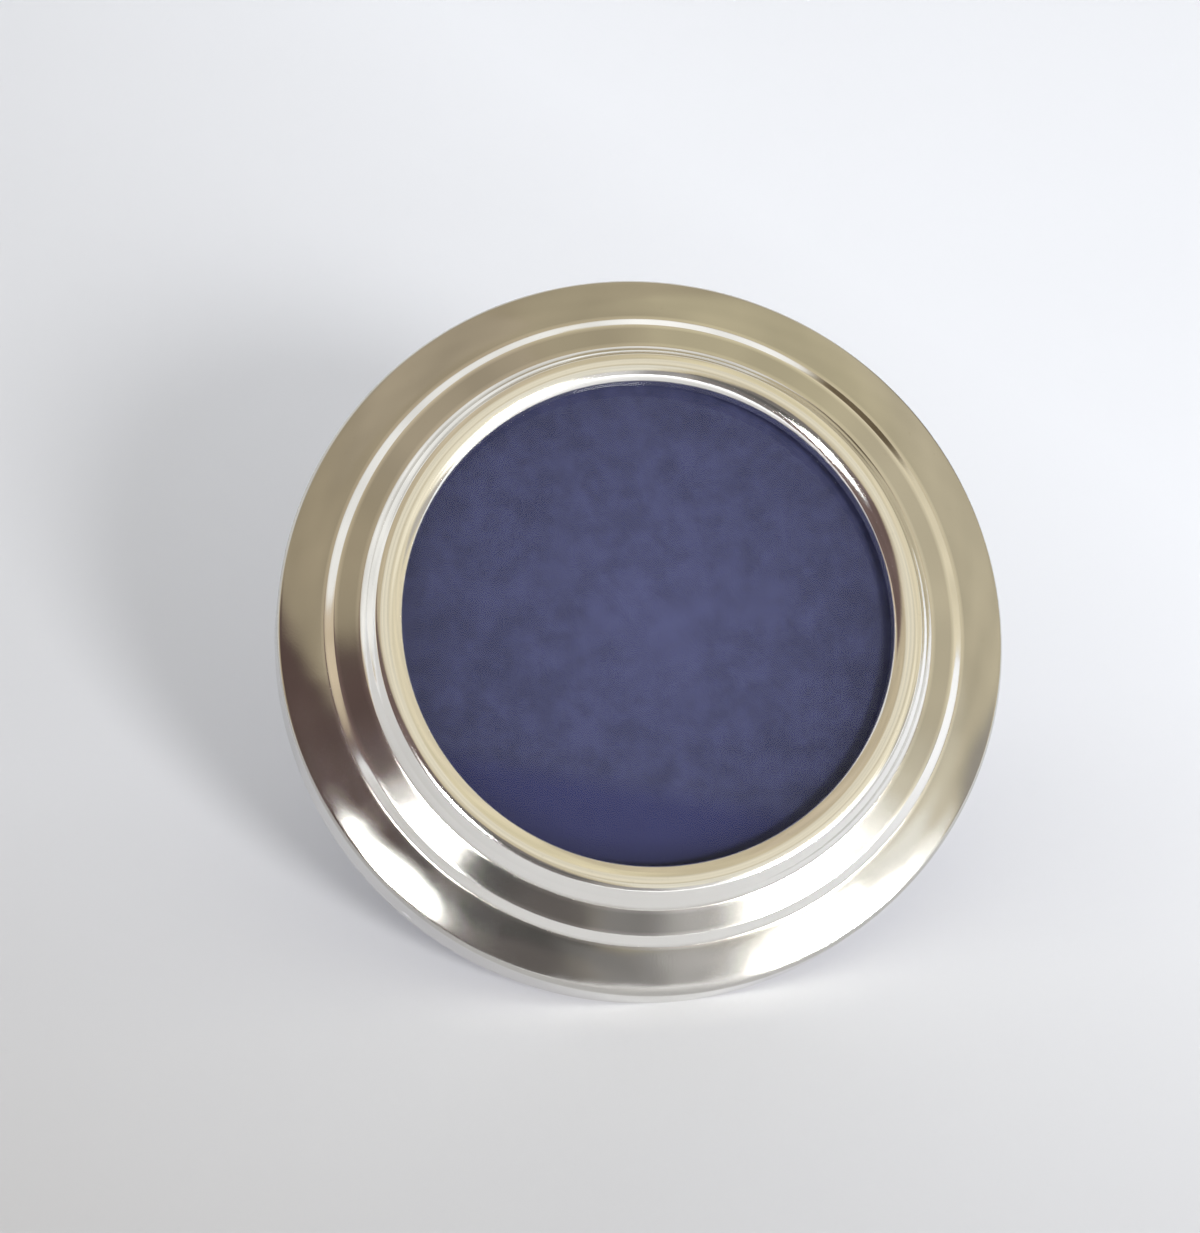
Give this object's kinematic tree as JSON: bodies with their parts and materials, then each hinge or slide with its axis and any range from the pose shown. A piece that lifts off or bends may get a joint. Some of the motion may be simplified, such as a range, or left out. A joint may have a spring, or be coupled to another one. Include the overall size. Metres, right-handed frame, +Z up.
{
  "type": "photo frame",
  "caption": "Round silver photo frame with a stepped front, glass, a push-in velvet back and a folding easel strut that a ribbon stays.",
  "frame": {"origin": "on the table, under the middle of the standing frame's box", "axes": "+Z up, the glass faces -Y and leans back, +X to the right as the glass is seen"},
  "size_m": [0.0898, 0.0696, 0.0739],
  "materials": {
    "silver": "polished",
    "wood": "stained",
    "glass": "clear",
    "blue_card": "matte",
    "kraft_card": "matte",
    "grey_board": "matte",
    "velvet": "pile",
    "ribbon": "woven",
    "brass": "satin"
  },
  "bodies": {
    "frame": {"silver_front": "silver", "former_ring": "wood", "rim_pin_1": "silver", "rim_pin_2": "silver", "rim_pin_3": "silver", "rim_pin_4": "silver", "glass": "glass"},
    "back": {"display_card": "blue_card", "packing_card": "kraft_card", "back_board": "grey_board", "back_velvet": "velvet", "stay_ribbon": "ribbon", "hinge_rivet_back_left": "brass", "hinge_rivet_back_right": "brass", "ribbon_rivet_back": "brass", "hinge_leaf_back": "brass", "hinge_pin": "brass"},
    "strut": {"strut_board": "grey_board", "strut_velvet": "velvet", "hinge_leaf_strut": "brass", "hinge_rivet_strut_left": "brass", "hinge_rivet_strut_right": "brass", "ribbon_rivet_strut": "brass"}
  },
  "joints": [
    {"name": "back_release", "type": "slide", "parent": "frame", "child": "back", "axis": [0, 0.766, -0.6428], "range_m": [0, 0.03]},
    {"name": "strut_fold", "type": "hinge", "parent": "back", "child": "strut", "pos_m": [0, 0.01127, 0.04601], "axis": [-1, 0, 0], "range_deg": [0, 58], "deforming": ["stay_ribbon"]}
  ]
}
